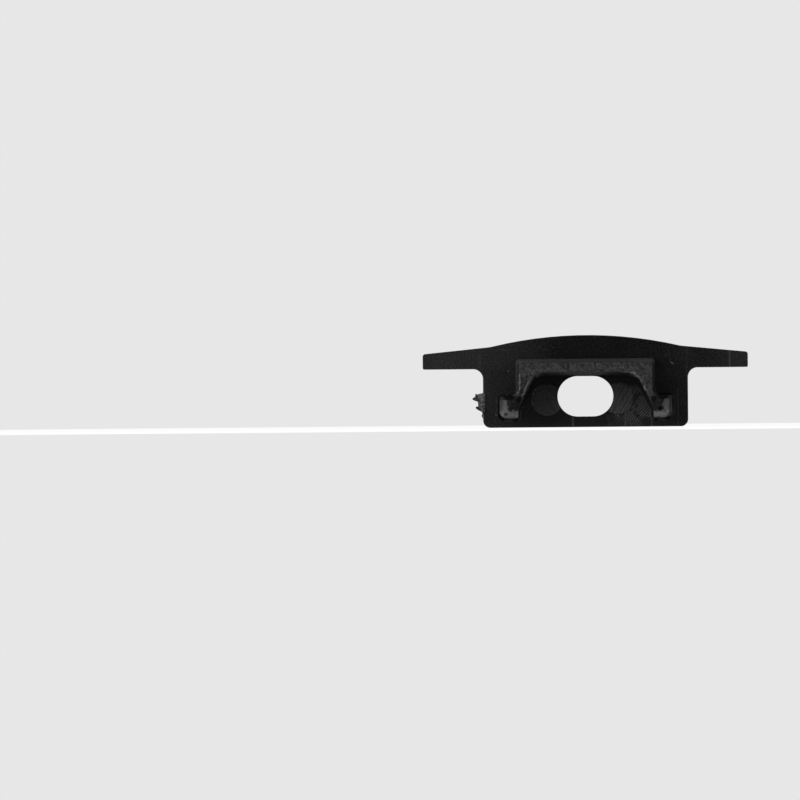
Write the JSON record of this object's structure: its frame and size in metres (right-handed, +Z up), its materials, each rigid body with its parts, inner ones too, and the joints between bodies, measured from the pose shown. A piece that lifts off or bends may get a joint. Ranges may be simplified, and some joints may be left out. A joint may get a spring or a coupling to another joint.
{
  "type": "profile end cap",
  "caption": "Moulded plastic end cap for a recessed channel: arched flange with wings, end wall with an obround cable hole, clip bar on splayed legs and side prongs.",
  "frame": {"origin": "mid-width of the cap, on its inner face, level with the undersides of the wings", "axes": "+Z up through the crown of the arch, +Y out of the end of the channel, X across the channel"},
  "size_m": [0.0244, 0.0109, 0.0069],
  "materials": {
    "moulded_plastic": "satin black moulding"
  },
  "bodies": {
    "root": {"end_cap": "moulded_plastic"}
  },
  "joints": []
}
